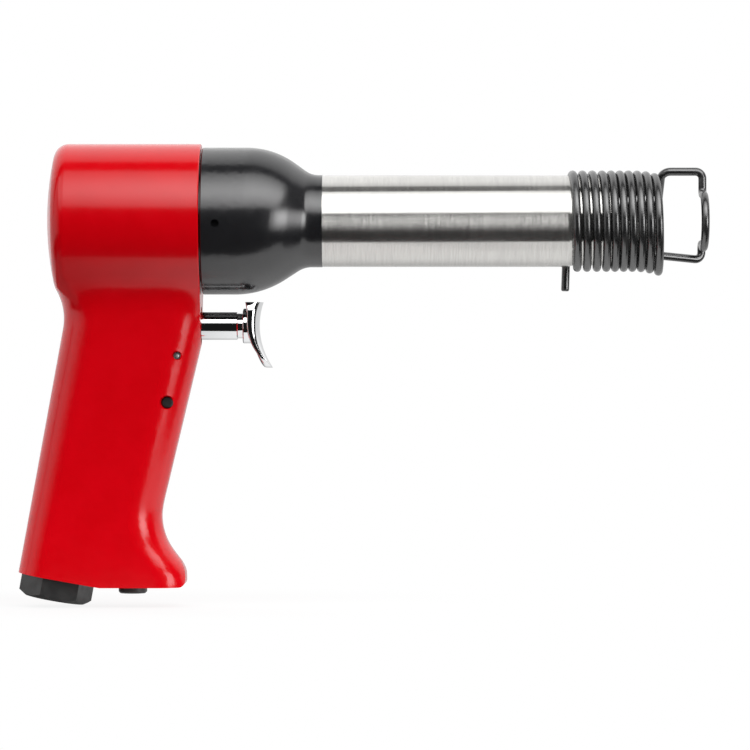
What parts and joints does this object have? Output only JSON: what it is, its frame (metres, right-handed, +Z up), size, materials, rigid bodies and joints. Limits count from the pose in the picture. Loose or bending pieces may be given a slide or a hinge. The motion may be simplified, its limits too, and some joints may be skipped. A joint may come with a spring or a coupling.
{
  "type": "pneumatic rivet hammer",
  "caption": "Hand-held pneumatic rivet hammer with a red pistol grip, push trigger, black tapered housing, ground steel barrel and a wound wire retainer spring on the muzzle.",
  "frame": {"origin": "centre of the muzzle face, where the rivet set's shank goes in", "axes": "+X along the barrel towards the work, +Z up away from the grip, +Y across the tool to the left of someone who holds it"},
  "size_m": [0.2387, 0.0534, 0.1599],
  "materials": {
    "red_enamel": "gloss",
    "black_enamel": "gloss",
    "ground_steel": "satin",
    "black_wire": "satin",
    "chrome_plate": "polished",
    "bronze": "satin",
    "seal_rubber": "matte",
    "turned_steel": "satin",
    "black_oxide": "satin"
  },
  "bodies": {
    "handle": {"handle": "red_enamel", "front_housing": "black_enamel", "barrel": "ground_steel", "retainer_spring": "black_wire", "trigger_bush": "bronze", "trigger_seal": "seal_rubber", "throttle_pin": "turned_steel", "throttle_seat": "turned_steel", "throttle_spring": "turned_steel", "spring_seat": "turned_steel", "spring_seat_pin": "black_oxide", "regulator_pin": "turned_steel", "inlet_bushing": "black_oxide", "inlet_seal": "seal_rubber", "inlet_screen": "bronze", "valve_body": "turned_steel", "valve_cap": "turned_steel", "valve_gasket": "seal_rubber", "valve_dowel": "turned_steel", "housing_ring": "seal_rubber"},
    "trigger": {"trigger_stem": "chrome_plate", "trigger_pad": "chrome_plate"},
    "throttle_valve": {"throttle_valve": "turned_steel", "valve_washer": "seal_rubber"},
    "regulator": {"regulator": "black_oxide", "regulator_ring": "seal_rubber"},
    "piston": {"piston": "turned_steel"},
    "shuttle_valve": {"shuttle_valve": "turned_steel"}
  },
  "joints": [
    {"name": "trigger_pull", "type": "slide", "parent": "handle", "child": "trigger", "axis": [-1, 0, 0], "range_m": [0, 0.005], "stiffness_N_per_m": 1200, "springref_m": -0.004},
    {"name": "throttle_open", "type": "slide", "parent": "handle", "child": "throttle_valve", "axis": [-0.1485, 0, -0.9889], "range_m": [0, 0.00223], "deforming": ["throttle_spring"]},
    {"name": "regulator_turn", "type": "hinge", "parent": "handle", "child": "regulator", "pos_m": [-0.1678, 0, -0.12675], "axis": [0, 0, 1], "continuous": true},
    {"name": "piston_stroke", "type": "slide", "parent": "handle", "child": "piston", "axis": [1, 0, 0], "range_m": [0, 0.077]},
    {"name": "valve_shuttle", "type": "slide", "parent": "handle", "child": "shuttle_valve", "axis": [1, 0, 0], "range_m": [0, 0.003]}
  ],
  "couplings": [
    {"joint": "throttle_open", "follows": "trigger_pull", "ratio": 0.4452}
  ]
}
